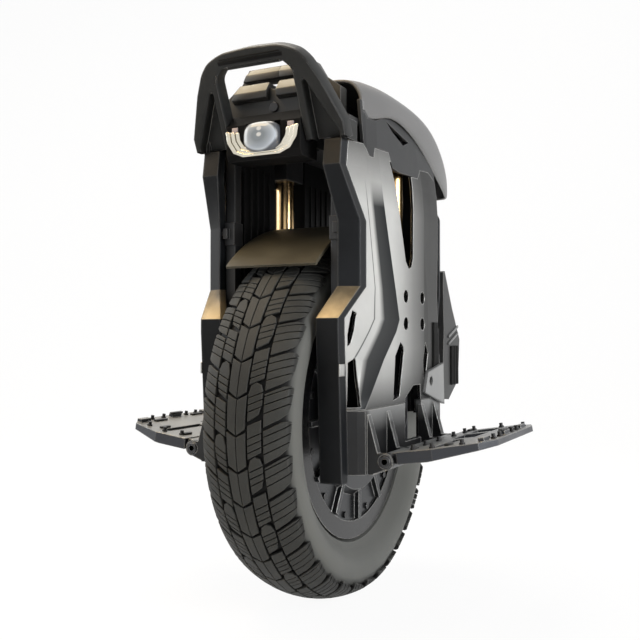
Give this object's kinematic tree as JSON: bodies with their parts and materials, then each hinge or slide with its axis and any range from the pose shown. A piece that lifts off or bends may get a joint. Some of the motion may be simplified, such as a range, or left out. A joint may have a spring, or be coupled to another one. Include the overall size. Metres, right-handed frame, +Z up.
{
  "type": "electric unicycle",
  "caption": "Suspended electric unicycle: fat tyre with hub motor, sliding fork tubes, tall silver side panels, headlamp, carry handle and folding spiked pedals.",
  "frame": {"origin": "on the ground under the middle of the axle", "axes": "+X forwards, +Y to the rider's left, +Z up"},
  "size_m": [0.41, 0.4372, 0.5847],
  "materials": {
    "tyre_rubber": "matt moulded rubber",
    "rim_black": "satin black paint with bright edges",
    "motor_grey": "satin dark paint",
    "magnet_metal": "plain plated",
    "bearing_steel": "ground steel",
    "screw_black": "blackened steel",
    "core_iron": "laminated sheet",
    "coil_copper": "enamelled copper wire",
    "leg_black": "satin black",
    "bush_plastic": "plain bearing plastic",
    "seal_rubber": "matt rubber",
    "plain_alloy": "machined",
    "gold_tube": "polished gold coating",
    "dark_alloy": "dark bead-blasted",
    "guard_black": "fine grain",
    "panel_silver": "satin metallic paint",
    "trim_dark": "fine grain",
    "column_blue_grey": "satin dark paint",
    "heel_grey": "satin paint",
    "case_black": "ribbed moulding",
    "pack_wrap": "shrink wrap",
    "seat_dark": "satin fine grain",
    "console_black": "fine grain",
    "board_green": "circuit board",
    "lens_clear": "clear moulding",
    "bezel_bright": "bright plating",
    "handle_black": "fine grain",
    "button_gloss": "gloss",
    "tail_red": "clear red",
    "bracket_grey": "cast, satin dark coat",
    "pedal_grey": "satin coat",
    "spike_steel": "turned steel"
  },
  "bodies": {
    "chassis": {"stanchions": "gold_tube", "stanchion_clamps": "dark_alloy", "upper_bridge": "plain_alloy", "bridge_screws": "screw_black", "side_panel_left": "panel_silver", "side_panel_right": "panel_silver", "upper_trims": "trim_dark", "front_column_left": "column_blue_grey", "front_column_right": "column_blue_grey", "rear_columns": "column_blue_grey", "rear_bumpers": "guard_black", "heel_plates": "heel_grey", "battery_packs": "pack_wrap", "battery_case_front_left": "case_black", "battery_case_front_right": "case_black", "battery_case_rear_left": "case_black", "battery_case_rear_right": "case_black", "seat_cover": "seat_dark", "console": "console_black", "controller_board": "board_green", "heat_sink": "plain_alloy", "lamp_housing": "console_black", "lamp_lens": "lens_clear", "lamp_bezel": "bezel_bright", "lamp_board": "board_green", "carry_handle": "handle_black", "trolley_rails": "dark_alloy", "tail_cover": "trim_dark", "tail_lamp": "tail_red", "charge_socket": "trim_dark", "pedal_bracket_left": "bracket_grey", "pedal_bracket_right": "bracket_grey", "hinge_pins": "screw_black"},
    "carrier": {"axle": "bearing_steel", "axle_nuts": "screw_black", "stator_core": "core_iron", "stator_coils": "coil_copper", "fork_leg_left": "leg_black", "fork_leg_right": "leg_black", "fork_bushes": "bush_plastic", "fork_wipers": "seal_rubber", "air_pistons": "plain_alloy", "mudguard": "guard_black"},
    "wheel": {"tyre": "tyre_rubber", "rim": "rim_black", "motor_cover_left": "motor_grey", "motor_cover_right": "motor_grey", "rotor_magnets": "magnet_metal", "wheel_bearings": "bearing_steel", "cover_screws": "screw_black"},
    "pedal_arm_left": {"pedal_left": "pedal_grey", "pedal_spikes_left": "spike_steel"},
    "pedal_arm_right": {"pedal_right": "pedal_grey", "pedal_spikes_right": "spike_steel"},
    "trolley_middle": {"trolley_stage": "dark_alloy"},
    "trolley_top": {"trolley_grip": "console_black"},
    "power_key": {"power_button": "button_gloss"},
    "lift_key": {"lift_paddle": "handle_black"},
    "socket_cap": {"charge_cap": "seal_rubber"}
  },
  "joints": [
    {"name": "suspension_slide", "type": "slide", "parent": "chassis", "child": "carrier", "axis": [0, 0, 1], "range_m": [0, 0.085], "stiffness_N_per_m": 15000, "springref_m": -0.015},
    {"name": "wheel_spin", "type": "hinge", "parent": "carrier", "child": "wheel", "pos_m": [0, 0, 0.205], "axis": [0, 1, 0], "continuous": true},
    {"name": "pedal_left_fold", "type": "hinge", "parent": "chassis", "child": "pedal_arm_left", "pos_m": [0.015, 0.1152, 0.1719], "axis": [1, 0, 0], "range_deg": [0, 71]},
    {"name": "pedal_right_fold", "type": "hinge", "parent": "chassis", "child": "pedal_arm_right", "pos_m": [0.015, -0.1152, 0.1719], "axis": [-1, 0, 0], "range_deg": [0, 71]},
    {"name": "trolley_stage_slide", "type": "slide", "parent": "chassis", "child": "trolley_middle", "axis": [0, 0, 1], "range_m": [0, 0.18]},
    {"name": "trolley_grip_slide", "type": "slide", "parent": "trolley_middle", "child": "trolley_top", "axis": [0, 0, 1], "range_m": [0, 0.18]},
    {"name": "power_button_push", "type": "slide", "parent": "chassis", "child": "power_key", "axis": [-1, 0, 0], "range_m": [0, 0.002], "stiffness_N_per_m": 500, "springref_m": -0.001},
    {"name": "lift_paddle_press", "type": "slide", "parent": "chassis", "child": "lift_key", "axis": [0.4147, 0, 0.91], "range_m": [0, 0.003], "stiffness_N_per_m": 600, "springref_m": -0.001},
    {"name": "charge_cap_hinge", "type": "hinge", "parent": "chassis", "child": "socket_cap", "pos_m": [-0.168, 0.0479, 0.4555], "axis": [-1, 0, 0], "range_deg": [0, 110]}
  ]
}
